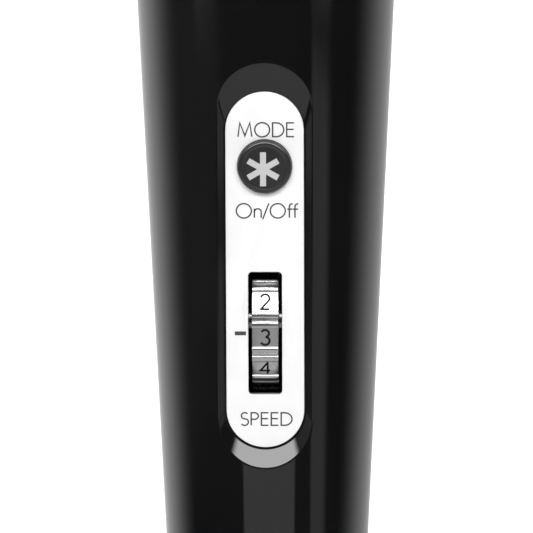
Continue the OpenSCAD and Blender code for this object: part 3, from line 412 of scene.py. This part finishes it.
def front_shell():
    """The handle's front half: a turned wall, opened for the recess, whose rim is rounded over into a wall
    that falls to the plate's seat. The recess wall's shading normals keep a nearly even slope, which its
    shape doesn't have."""
    rim_r = PLATE_R + GAP_SIDE
    rim_high = PLATE_HALF + GAP_TOP - rim_r
    rim_low = -PLATE_HALF - GAP_BOTTOM + rim_r
    margin = 6.0
    patch_high, patch_low = rim_high + rim_r + margin, rim_low - rim_r - margin
    seam_step, seam_groove = 0.45, 0.12

    z_first = TAIL_Z + TAIL_ROUND * (1 - sin(atan(TAPER)))
    z_last = TOP_Z - SHOULDER_LEN
    rows_below, rows_beside, rows_above = 18, 65, 14
    heights = np.concatenate([
        np.linspace(z_first, patch_low, rows_below),
        np.linspace(patch_low, patch_high, rows_beside)[1:],
        np.linspace(patch_high, z_last, rows_above)[1:],
    ])
    shares = (heights - z_first) / (z_last - z_first)
    outer, before = handle_profile(0.0, shares)
    inner, _ = handle_profile(WALL, shares)
    k0 = before + rows_below - 1
    k1 = k0 + rows_beside - 1
    angles = [-90.0, -90.0 + seam_step] + list(np.arange(-87.5, 87.6, 2.5)) + [90.0 - seam_step, 90.0]
    patch_angle = 32.5
    j0, j1 = angles.index(-patch_angle), angles.index(patch_angle)

    points, exact = [], {}

    def add(p, normal=None):
        points.append(Vector(p))
        if normal is not None:
            exact[len(points) - 1] = Vector(normal).normalized()
        return len(points) - 1

    def tangent(profile, k):
        a, b = profile[max(k - 1, 0)], profile[min(k + 1, len(profile) - 1)]
        return b[0] - a[0], b[1] - a[1]

    grid = {}
    for side, profile in (("out", outer), ("in", inner)):
        for k, (r, z) in enumerate(profile):
            for j, angle in enumerate(angles):
                inside = k0 < k < k1 and j0 < j < j1
                if inside:
                    continue
                edge = abs(angle) == 90.0 and side == "out"
                rr = r - seam_groove if edge else r
                s, c = sin(radians(angle)), cos(radians(angle))
                c = 0.0 if abs(angle) == 90.0 else c
                normal = None
                if side == "out" and not edge:
                    straight = before <= k < before + len(shares)
                    dr, dz = (TAPER, 1.0) if straight else tangent(profile, k)
                    if 1 < k < len(profile) - 2:
                        normal = (dz * s, -dz * c, -dr)
                grid[side, k, j] = add((rr * s, -rr * c, z), normal)

    faces = []
    last_k, last_j = len(outer) - 1, len(angles) - 1
    for side in ("out", "in"):
        for k in range(last_k):
            for j in range(last_j):
                if k0 <= k < k1 and j0 <= j < j1:
                    continue
                corners = ((k, j), (k, j + 1), (k + 1, j + 1), (k + 1, j))
                faces.append(tuple(grid[side, kk, jj] for kk, jj in corners))
    for k in (0, last_k):
        a, b = [[grid[side, k, j] for j in range(last_j + 1)] for side in ("out", "in")]
        faces += strip_faces(a, b, closed=False)
    for j in (0, last_j):
        a, b = [[grid[side, k, j] for k in range(last_k + 1)] for side in ("out", "in")]
        faces += strip_faces(a, b, closed=False)

    border = (
        [(k0, j) for j in range(j0, j1)]
        + [(k, j1) for k in range(k0, k1)]
        + [(k1, j) for j in range(j1, j0, -1)]
        + [(k, j0) for k in range(k1, k0, -1)]
    )
    starts = [points[grid["out", k, j]] for k, j in border]
    rays = []
    for p in starts:
        z = min(max(p.z, rim_low), rim_high)
        ray = Vector((p.x, 0, p.z - z)).normalized()
        rays.append((ray, (z - rim_low) / (rim_high - rim_low)))

    def outline(r, z_low, z_high):
        return [(r * ray.x, z_low + (z_high - z_low) * s + r * ray.z) for ray, s in rays]

    lip, corner_out, foot_out = 0.22, 0.34, 0.17
    blend_steps, lip_steps, wall_steps, foot_steps = 9, 5, 3, 4
    rim = [on_handle(x, z) for x, z in outline(rim_r, rim_low, rim_high)]
    lip_start = outline(rim_r + lip, rim_low, rim_high)
    end = PLATE_HALF - PLATE_R
    corner = [panel(x, 0, z) for x, z in outline(PLATE_R + corner_out, -end, end)]
    foot = [panel(x, 0, z) for x, z in outline(PLATE_R + foot_out, -end, end)]
    rings = []
    for m in range(1, blend_steps + 1):
        t = m / blend_steps
        t = t * (2 - t) * 0.6 + t * 0.4
        ring = [on_handle(p.x + (x - p.x) * t, p.z + (z - p.z) * t) for p, (x, z) in zip(starts, lip_start)]
        rings.append([add(p, handle_normal(p)) for p in ring])
    lip_ring = [points[i] for i in rings[-1]]
    outward = panel(0, -1, 0) - panel(0, 0, 0)
    lean_sides, lean_ends = 26.0, 4.5
    turned = []
    for (ray, _), a, p, q, f in zip(rays, lip_ring, rim, corner, foot):
        lean = radians(lean_sides + lean_ends * abs(ray.z))
        across = panel(ray.x, 0, ray.z) - panel(0, 0, 0)
        facing = outward * cos(lean) - across * sin(lean)
        skin = handle_normal(a)
        wall = q - p
        b = p + wall * min(0.3, lip / wall.length)
        c = q - wall * min(0.3, 0.2 / wall.length)
        curve = []
        for t in np.linspace(0, 1, lip_steps + 1)[1:]:
            curve.append((a * (1 - t) ** 2 + p * 2 * t * (1 - t) + b * t * t, skin * (1 - t) + facing * t))
        for t in np.linspace(0, 1, wall_steps + 1)[1:]:
            curve.append((b * (1 - t) + c * t, facing))
        for t in np.linspace(0, 1, foot_steps + 1)[1:]:
            curve.append((c * (1 - t) ** 2 + q * 2 * t * (1 - t) + f * t * t, facing * (1 - t) + outward * t))
        turned.append(curve)
    for ring in zip(*turned):
        rings.append([add(spot, normal) for spot, normal in ring])
    seat, plate_gap, pad_reach = 1.2, 0.15, 1.45
    for r, y in (
        (PLATE_R + plate_gap, 0.0),
        (PLATE_R + plate_gap, PLATE_T),
        (PLATE_R - seat, PLATE_T),
        (PLATE_R - seat, PAD_BACK),
        (PLATE_R + pad_reach, PAD_BACK),
    ):
        rings.append([add(panel(x, y, z)) for x, z in outline(r, -end, end)])
    rings = [[grid["out", k, j] for k, j in border]] + rings + [[grid["in", k, j] for k, j in border]]
    for a, b in zip(rings, rings[1:]):
        faces += strip_faces(a, b)

    mesh = closed_mesh("front_shell_visual", points, faces)
    obj = new_piece("front_shell_visual", mesh, "handle", MATERIALS["gloss_black"], 28.0)
    corners = [Vector(c.vector) for c in mesh.corner_normals]
    for face in mesh.polygons:
        for loop in face.loop_indices:
            wanted = exact.get(mesh.loops[loop].vertex_index)
            if wanted is not None and wanted.dot(face.normal) > 0.75:
                corners[loop] = wanted
    mesh.normals_split_custom_set(corners)
    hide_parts("front_shell")

    inset = seat + 0.02
    pad = plate_mesh(
        "panel_pad",
        [
            slot_outline(PLATE_R - inset, PLATE_HALF - inset),
            arc(0, BUTTON_Z, BUTTON_R + 0.3, BUTTON_R + 0.3, 0, 354, 59),
            window_outline(0.2),
        ],
        PLATE_T + 0.02,
        PAD_BACK,
        0.1,
    )
    new_piece("panel_pad", pad, "handle", PAD_GREY)


# ---------------------------------------------------------------- control plate


def window_outline(grow=0.0):
    corner = 0.8
    x = WINDOW_W / 2 + grow - corner
    z = WINDOW_LEN / 2 + grow - corner
    points = []
    for i, (sx, sz) in enumerate(((1, 1), (-1, 1), (-1, -1), (1, -1))):
        points += arc(sx * x, WHEEL_Z + sz * z, corner, corner, 90 * i, 90 * i + 90, 6)
    return points


def control_plate():
    mesh = plate_mesh(
        "control_plate_visual",
        [
            slot_outline(PLATE_R, PLATE_HALF, n=60),
            arc(0, BUTTON_Z, BUTTON_R + 0.08, BUTTON_R + 0.08, 0, 356, 89),
            window_outline(),
        ],
        0.0,
        PLATE_T,
        0.16,
    )
    obj = new_piece("control_plate_visual", mesh, "handle", MATERIALS["satin_silver"], 25.0)
    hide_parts("control_plate")


# ---------------------------------------------------------------- lettering, as flat strokes


def bend(cx, cy, rx, ry, start, end):
    return arc(cx, cy, rx, ry, start, end, 18)


GLYPHS = {
    "M": (0.94, [[(0.0, 0), (0.13, 1), (0.47, 0.06), (0.81, 1), (0.94, 0)]]),
    "O": (1.02, [bend(0.51, 0.5, 0.51, 0.52, 0, 342)]),
    "D": (0.76, [[(0, 0), (0, 1), (0.26, 1)] + bend(0.26, 0.5, 0.5, 0.5, 80, -80) + [(0.26, 0)]]),
    "E": (0.5, [[(0.5, 1), (0, 1), (0, 0), (0.5, 0)], [(0, 0.53), (0.47, 0.53)]]),
    "S": (0.52, [bend(0.265, 0.76, 0.235, 0.25, 35, 235) + bend(0.25, 0.265, 0.27, 0.275, 50, -145)]),
    "P": (
        0.52,
        [[(0, 0), (0, 1), (0.24, 1)] + bend(0.24, 0.74, 0.27, 0.26, 80, -80) + [(0.24, 0.48), (0, 0.48)]],
    ),
    "n": (0.46, [[(0, 0), (0, 0.66)], [(0, 0.36)] + bend(0.23, 0.42, 0.23, 0.23, 165, 0) + [(0.46, 0)]]),
    "f": (0.34, [bend(0.31, 0.8, 0.19, 0.2, 80, 180) + [(0.12, 0)], [(-0.02, 0.62), (0.33, 0.62)]]),
    "/": (0.42, [[(0, -0.1), (0.42, 1.04)]]),
    "1": (0.3, [[(0, 0.8), (0.2, 1), (0.2, 0)]]),
    "2": (0.56, [bend(0.28, 0.73, 0.26, 0.27, 170, -35) + [(0.02, 0), (0.56, 0)]]),
    "3": (0.54, [bend(0.27, 0.765, 0.235, 0.235, 155, -80), bend(0.27, 0.27, 0.27, 0.27, 85, -155)]),
    "4": (0.6, [[(0.44, 0), (0.44, 1), (0, 0.28), (0.6, 0.28)]]),
    "5": (0.54, [[(0.5, 1), (0.14, 1), (0.08, 0.54)] + bend(0.25, 0.31, 0.28, 0.31, 118, -150)]),
    "6": (0.56, [bend(0.28, 0.3, 0.28, 0.3, 0, 342), [(0.46, 1), (0.22, 0.68), (0.02, 0.36)]]),
    "7": (0.54, [[(0, 1), (0.54, 1), (0.18, 0)]]),
    "8": (0.54, [bend(0.27, 0.76, 0.22, 0.24, 0, 342), bend(0.27, 0.27, 0.27, 0.27, 0, 342)]),
}
CLOSED = {"O": [0], "D": [0], "6": [0], "8": [0, 1]}
GAPS = {"n/": 0.1, "/O": 0.09, "Of": 0.15, "ff": 0.04}


def ribbon(line, width, closed):
    """Both sides of a stroke of that width along a line, with mitred corners."""
    p = np.array(line, float)
    n = len(p)
    step = np.roll(p, -1, 0) - p
    step /= np.linalg.norm(step, axis=1)[:, None]
    before = np.roll(step, 1, 0)
    if not closed:
        before[0] = step[0]
        step[-1] = before[-1]
    side = before + step
    side /= np.linalg.norm(side, axis=1)[:, None]
    normal = np.stack([-side[:, 1], side[:, 0]], 1)
    reach = width / 2 / np.maximum(np.abs(np.sum(normal * np.stack([-step[:, 1], step[:, 0]], 1), 1)), 0.35)
    return p + normal * reach[:, None], p - normal * reach[:, None], n


def add_stroke(points, faces, line, width, closed, place, lift):
    """Adds one stroke as a thin closed bar that stands out by lift."""
    left, right, n = ribbon(line, width, closed)
    first = len(points)
    for u, v in zip(left, right):
        points += [place(u[0], u[1], lift), place(v[0], v[1], lift)]
        points += [place(v[0], v[1], -lift), place(u[0], u[1], -lift)]
    rings = [list(range(first + 4 * i, first + 4 * i + 4)) for i in range(n)]
    for a, b in zip(rings, rings[1:]):
        faces += strip_faces(a, b)
    if closed:
        faces += strip_faces(rings[-1], rings[0])
    else:
        faces += [tuple(rings[0]), tuple(reversed(rings[-1]))]


def lettering(name, text, size, width, stroke, place, body, material, lift=0.02):
    """A word in plain strokes, size high and width wide, centred on the origin of place."""
    gaps = [GAPS.get(a + b, 0.2) for a, b in zip(text, text[1:])] + [0]
    total = sum(GLYPHS[c][0] for c in text) + sum(gaps)
    squeeze = width / total
    points, faces = [], []
    x = -total / 2
    for c, gap in zip(text, gaps):
        for k, line in enumerate(GLYPHS[c][1]):
            scaled = [((x + px) * squeeze, (py - 0.5) * size) for px, py in line]
            add_stroke(points, faces, scaled, stroke, k in CLOSED.get(c, []), place, lift)
        x += GLYPHS[c][0] + gap
    mesh = closed_mesh(name, points, faces)
    return new_piece(name, mesh, body, material, 20.0)


def plate_labels():
    """Plain function words and the index mark beside the wheel, printed on the plate."""
    for name, text, x, z, size, width in (
        ("label_mode", "MODE", 0.3, 28.8, 2.8, 11.2),
        ("label_on_off", "On/Off", 0.5, 12.3, 2.85, 12.4),
        ("label_speed", "SPEED", 0.2, -30.6, 2.6, 10.3),
    ):
        lettering(
            name, text, size, width, 0.3, lambda u, v, out, x=x, z=z: panel(x + u, -out, z + v),
            "handle", PRINT_BLACK,
        )
    dash_x, dash_z, dash_w, dash_h = -5.0, -12.85, 2.25, 0.8
    points, faces = [], []
    line = [(-dash_w / 2, 0), (dash_w / 2, 0)]
    lift = 0.03

    def place(u, v, out):
        return panel(dash_x + u, -out, dash_z + v)

    add_stroke(points, faces, line, dash_h, False, place, lift)
    mesh = closed_mesh("index_mark", points, faces)
    new_piece("index_mark", mesh, "handle", PRINT_BLACK, 20.0)


# ---------------------------------------------------------------- button


def turned_piece(name, profile, place, body, material, n=96, sharp=32.0):
    """A closed turned solid; profile is (r, h) and place takes (x, y, h)."""
    points, rings = [], []
    for r, h in profile:
        if r < 1e-6:
            points.append(place(0, 0, h))
            rings.append([len(points) - 1] * n)
            continue
        rings.append(list(range(len(points), len(points) + n)))
        points += [place(r * cos(2 * pi * i / n), r * sin(2 * pi * i / n), h) for i in range(n)]
    faces = []
    for a, b in zip(rings, rings[1:]):
        for f in strip_faces(a, b):
            corners = list(dict.fromkeys(f))
            if len(corners) > 2:
                faces.append(tuple(corners))
    mesh = closed_mesh(name, points, faces)
    return new_piece(name, mesh, body, material, sharp)


def mode_button():
    """The button's cap, with a rounded edge and a shallow ring round its face, and its flange and plunger."""
    r, out = BUTTON_R, BUTTON_OUT
    edge = 0.75
    face_r = r - edge
    plunger = from_world(Vector((0, high("mode_button").y, 0))).y
    plunger_r, flange_t, flange_gap = 1.7, 1.0, 0.1
    flange_r = r + BUTTON_FLANGE
    back = -(PAD_BACK + flange_t)
    profile = [(0, -plunger), (plunger_r, -plunger), (plunger_r, back), (flange_r, back)]
    profile += [(flange_r, -PAD_BACK - flange_gap)]
    profile += [(r, -PAD_BACK - flange_gap), (r, out - edge)]
    profile += arc(face_r, out - edge, edge, edge, 8, 84, 8)
    profile += [(face_r - 0.12, out), (face_r - 0.2, out - 0.05), (face_r - 0.3, out - 0.08)]
    profile += [(face_r - 0.6, out - 0.08), (2.0, out - 0.06), (0, out - 0.05)]
    obj = turned_piece(
        "mode_button_visual", profile, lambda x, z, h: panel(x, -h, BUTTON_Z + z),
        "button", MATERIALS["button_black"], 120, 40.0,
    )
    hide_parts("mode_button")

    arms, reach, half = 6, 3.45, 0.6
    star_x, star_z = -0.3, -0.35
    star = []
    for k in range(arms):
        a = radians(90 + 360 / arms * k)
        for along, across in ((reach, -half), (reach, half)):
            star.append((along * cos(a) - across * sin(a), along * sin(a) + across * cos(a)))
        b = a + pi / arms
        star.append((half / sin(pi / arms) * cos(b), half / sin(pi / arms) * sin(b)))
    rings = [
        [panel(x + star_x, -(out - 0.07 + h), BUTTON_Z + star_z + z) for x, z in star] for h in (-0.05, 0.06)
    ]
    mesh = closed_mesh("button_star", *loft(rings))
    new_piece("button_star", mesh, "button", PRINT_PALE, 20.0)


# ---------------------------------------------------------------- speed wheel


def wheel_place(r, angle, x):
    """A point of the wheel: angle is in degrees from the outward direction, positive downwards."""
    a = radians(angle + WHEEL_REST)
    out = Vector((0, -cos(TILT), -sin(TILT)))
    up = Vector((0, -sin(TILT), cos(TILT)))
    return WHEEL_AXIS + out * (r * cos(a)) - up * (r * sin(a)) + Vector((x, 0, 0))


def speed_wheel():
    """Thumbwheel with a flat for each number and two rounded ribs between flats, and its digits. It rests a
    touch past the mark."""
    station = 360 / STATIONS
    flat = station * 4 / 15
    rib, rib_h = 5.9, 0.5
    root = WHEEL_R - rib_h
    rise = [(rib / 2 * (1 - cos(a)), rib_h * sin(a) ** 0.6) for a in np.linspace(0, pi * 0.9999, 13)]
    outline = []
    for k in range(STATIONS):
        centre = k * station
        a, b = centre + flat, centre + station - flat
        for t in (-flat / 2, 0.0, flat / 2):
            outline.append((root * cos(radians(flat)) / cos(radians(t)), centre + t))
        outline += [(root + h, a + t) for t, h in rise]
        outline += [(root, (a + b) / 2)]
        outline += [(root + h, b - rib + t) for t, h in rise]
    edge = 0.14
    half = WHEEL_W / 2
    hub, shaft, rim, dish = 5.2, 3.0, 2, 1.1
    sections = [(-half, edge), (-half + edge * 0.3, edge * 0.3), (-half + edge, 0.0)]
    sections += [(-x, cut) for x, cut in reversed(sections)]
    rings = [[wheel_place(r - cut, a, x) for r, a in outline] for x, cut in sections]
    right = [(half, root - rim), (half - dish, root - rim), (half - dish, hub), (half, hub), (half, shaft)]
    left = [(-x, r) for x, r in reversed(right)]
    for x, r in right + left:
        rings.append([wheel_place(r, a, x) for _, a in outline])
    mesh = closed_mesh("speed_wheel_visual", *loft(rings, cap=False))
    obj = new_piece("speed_wheel_visual", mesh, "speed_dial", WHEEL_CHROME, 35.0)
    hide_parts("speed_wheel")

    face = root * cos(radians(flat))
    tangent_out = 0.015
    digit_h, digit_w, stroke, lift = 3.1, 3.3, 0.46, 0.03
    for digit in range(1, 9):
        centre = (digit - 3) * station

        def place(u, v, out, centre=centre):
            return wheel_place(face + out + tangent_out, centre, u) + (
                wheel_place(face, centre - 90, 0) - WHEEL_AXIS
            ) * (v / face)

        glyph_w = GLYPHS[str(digit)][0] * digit_w
        lettering(
            f"digit_{digit}", str(digit), digit_h, glyph_w, stroke, place,
            "speed_dial", PRINT_DARK, lift,
        )


# ---------------------------------------------------------------- neck


def neck_sleeves():
    """The ribbed rubber sleeve in two turned halves: one from the neck collar to the middle of the neck, one
    from there to the head collar.
    """
    outer = high("neck_sleeve_lower").x
    root = outer - SLEEVE_RIB_OUT
    for name, cad, z0, z1, bodies in (
        ("neck_sleeve_lower_visual", "neck_sleeve_lower", NECK_Z, NECK_MID, ("handle", "neck")),
        ("neck_sleeve_upper_visual", "neck_sleeve_upper", NECK_MID, HEAD_Z, ("neck", "head")),
    ):
        pitch = (z1 - z0) / SLEEVE_RIBS
        profile = [(SLEEVE_IN, z0), (root, z0)]
        for k in range(SLEEVE_RIBS):
            centre = z0 + (k + 0.5) * pitch
            profile += arc(root, centre, outer - root, pitch * 0.42, -86, 86, 14)
        profile += [(root, z1), (SLEEVE_IN, z1)]
        profile += [(SLEEVE_IN, z1 + (z0 - z1) * t) for t in np.linspace(0, 1, 13)[1:]]
        obj = turned_piece(
            name, profile, lambda x, y, h: Vector((x, y, h)), None,
            MATERIALS["neck_rubber"], 128, 50.0,
        )
        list(bodies)
        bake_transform(obj)
        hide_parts(cad)


def swept_tube(name, line, radius, sides=10):
    """A closed round bar along a line of points."""
    line = [Vector(p) for p in line]
    rings = []
    for i, p in enumerate(line):
        along = (line[min(i + 1, len(line) - 1)] - line[max(i - 1, 0)]).normalized()
        side = along.cross(Vector((0, 0, 1))).normalized()
        up = side.cross(along)
        angles = [2 * pi * k / sides for k in range(sides)]
        rings.append([p + side * (radius * cos(a)) + up * (radius * sin(a)) for a in angles])
    return closed_mesh(name, *loft(rings))


def neck_core():
    """The spring inside the sleeve and the coupling inside the spring, each as two halves."""
    halves = (
        ("lower", NECK_Z, NECK_MID, ("handle", "neck")),
        ("upper", NECK_MID, HEAD_Z, ("neck", "head")),
    )
    wire, turns = 1.3, 6
    centre_r = high("neck_spring").x - wire
    spring_low, spring_high = low("neck_spring").z + wire, high("neck_spring").z - wire
    rod_low, rod_high = low("drive_coupling").z, high("drive_coupling").z
    rod_r = high("drive_coupling").x
    for k, (name, z0, z1, bodies) in enumerate(halves):
        shares = np.linspace(k / 2, (k + 1) / 2, turns * 16 + 1)
        line = [
            (
                centre_r * cos(2 * pi * turns * t),
                centre_r * sin(2 * pi * turns * t),
                spring_low + (spring_high - spring_low) * t,
            )
            for t in shares
        ]
        spring = swept_tube(f"neck_spring_{name}", line, wire)
        spring = new_piece(f"neck_spring_{name}", spring, None, MATERIALS["steel"], 50.0)
        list(bodies)
        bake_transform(spring)
        a, b = (rod_low, NECK_MID) if k == 0 else (NECK_MID, rod_high)
        count = round((b - a) / 1.6)
        pitch = (b - a) / count
        profile = [(0, a)]
        for m in range(count):
            z = a + m * pitch
            profile += [(rod_r - 0.4, z), (rod_r, z + pitch / 4), (rod_r, z + pitch * 3 / 4)]
        profile += [(rod_r - 0.4, b), (0, b)]
        rod = turned_piece(
            f"drive_coupling_{name}", profile, lambda x, y, h: Vector((x, y, h)), None,
            MATERIALS["zinc_steel"], 40, 25.0,
        )
        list(bodies)
        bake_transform(rod)
        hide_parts("neck_spring")
        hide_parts("drive_coupling")


# ---------------------------------------------------------------- studio


def smooth_step(tree, value, start, end):
    made = node(
        tree,
        "ShaderNodeMapRange",
        {"Value": value, "From Min": start, "From Max": end},
        interpolation_type="SMOOTHSTEP",
    )
    return made.outputs["Result"]


def math(tree, operation, a, b=0.0):
    made = node(tree, "ShaderNodeMath", {0: a, 1: b}, operation=operation)
    return made.outputs[0]


def studio():
    """White room: bright at the sides and behind, dark in front, with a high softbox and a low white card.
    Angles are in degrees: azimuth from straight in front, positive to the right, and height above level."""
    world = bpy.data.worlds.new("studio")
    bpy.context.scene.world = world
    world.use_nodes = True
    tree = world.node_tree
    direction = node(tree, "ShaderNodeTexCoord").outputs["Generated"]
    axes = node(tree, "ShaderNodeSeparateXYZ", {"Vector": direction})
    x, y, z = axes.outputs
    front = math(tree, "MULTIPLY", y, -1.0)
    azimuth = math(tree, "MULTIPLY", math(tree, "ARCTAN2", x, front), 180 / pi)
    width = math(tree, "ABSOLUTE", azimuth)
    height = math(tree, "MULTIPLY", math(tree, "ARCSINE", z), 180 / pi)

    def times(*values):
        made = values[0]
        for value in values[1:]:
            made = math(tree, "MULTIPLY", made, value)
        return made

    room = times(smooth_step(tree, width, 86.0, 130.0), spread(tree, width, 1.0, 0.7, 140.0, 175.0))
    room = times(room, spread(tree, azimuth, 1.08, 0.95, 60.0, 90.0))
    arch = math(tree, "SUBTRACT", height, spread(tree, width, 36.0, 23.0, 8.0, 42.0))
    box = times(smooth_step(tree, arch, -4.0, 4.0), smooth_step(tree, arch, 29.0, 22.0))
    box = times(box, smooth_step(tree, width, 56.0, 44.0), 10.0)
    leaning = math(tree, "ADD", azimuth, times(math(tree, "ADD", height, 14.0), 1.4))
    strip = times(smooth_step(tree, leaning, 43.0, 46.5), smooth_step(tree, leaning, 68.0, 58.0))
    notch = times(smooth_step(tree, height, -12.0, -12.3), smooth_step(tree, height, -13.3, -12.8), 0.75)
    strip = times(strip, math(tree, "SUBTRACT", 0.47, times(notch, 0.47)))
    strip = times(strip, smooth_step(tree, height, 34.0, 24.0))
    low_left = times(smooth_step(tree, azimuth, -36.0, -50.0), smooth_step(tree, height, 0.0, -12.0), 0.1)
    low_left = times(low_left, smooth_step(tree, height, -18.0, -15.0))
    left = times(smooth_step(tree, azimuth, -44.0, -48.0), smooth_step(tree, azimuth, -70.0, -60.0), 0.34)
    left = times(left, smooth_step(tree, height, -12.4, -11.8), smooth_step(tree, height, 34.0, 24.0))
    strip = math(tree, "ADD", strip, math(tree, "ADD", low_left, left))
    card = times(smooth_step(tree, height, -14.5, -16.5), smooth_step(tree, azimuth, 33.0, 30.0))
    card = times(card, smooth_step(tree, azimuth, -27.0, -24.0))
    below = times(smooth_step(tree, height, -21.5, -24.5), smooth_step(tree, width, 82.0, 74.0))
    card = math(tree, "MULTIPLY", math(tree, "MAXIMUM", card, below), 0.7)
    total = math(tree, "ADD", math(tree, "ADD", room, box), math(tree, "ADD", strip, card))

    seen = node(tree, "ShaderNodeBackground", {"Color": (1, 1, 1, 1), "Strength": 1.0})
    light = node(tree, "ShaderNodeBackground", {"Color": (1, 1, 1, 1), "Strength": total})
    path = node(tree, "ShaderNodeLightPath")
    mix = node(tree, "ShaderNodeMixShader", {0: path.outputs["Is Camera Ray"]})
    tree.links.new(light.outputs[0], mix.inputs[1])
    tree.links.new(seen.outputs[0], mix.inputs[2])
    tree.links.new(mix.outputs[0], tree.nodes["World Output"].inputs["Surface"])

    half = 6.0
    z = CAD_BOX[0][2]
    corners = [(-half, -half, z), (half, -half, z), (half, half, z), (-half, half, z)]
    mesh = bpy.data.meshes.new("floor")
    mesh.from_pydata(corners, [], [(0, 1, 2, 3)])
    floor = bpy.data.objects.new("floor", mesh)
    bpy.context.scene.collection.objects.link(floor)
    white = finish_material("floor_white", grey(0.93), grey(0.95), (0.7, 0.8), mottle=3.0, bump=0.0)
    mesh.materials.append(white)
    floor.visible_glossy = False


def camera():
    """Level with the control panel and a little above it, as a close-up through a long lens."""
    distance, azimuth, elevation, roll = 1.0, radians(0.87), radians(10.5), -0.003
    target = Vector((0.31 * MM, -20.7 * MM, 0.9 * MM))
    direction = Vector((sin(azimuth) * cos(elevation), -cos(azimuth) * cos(elevation), sin(elevation)))
    data = bpy.data.cameras.new("camera")
    data.sensor_width = 36.0
    data.lens = 336.6
    data.clip_end = 50.0
    obj = bpy.data.objects.new("camera", data)
    bpy.context.scene.collection.objects.link(obj)
    turn = direction.to_track_quat("Z", "Y").to_matrix().to_4x4() @ Matrix.Rotation(roll, 4, "Z")
    obj.matrix_world = Matrix.Translation(target + direction * distance) @ turn
    bpy.context.scene.camera = obj


paint_frame()
front_shell()
control_plate()
plate_labels()
mode_button()
speed_wheel()
neck_sleeves()
neck_core()
studio()
camera()
bpy.context.scene.view_settings.view_transform = "Standard"
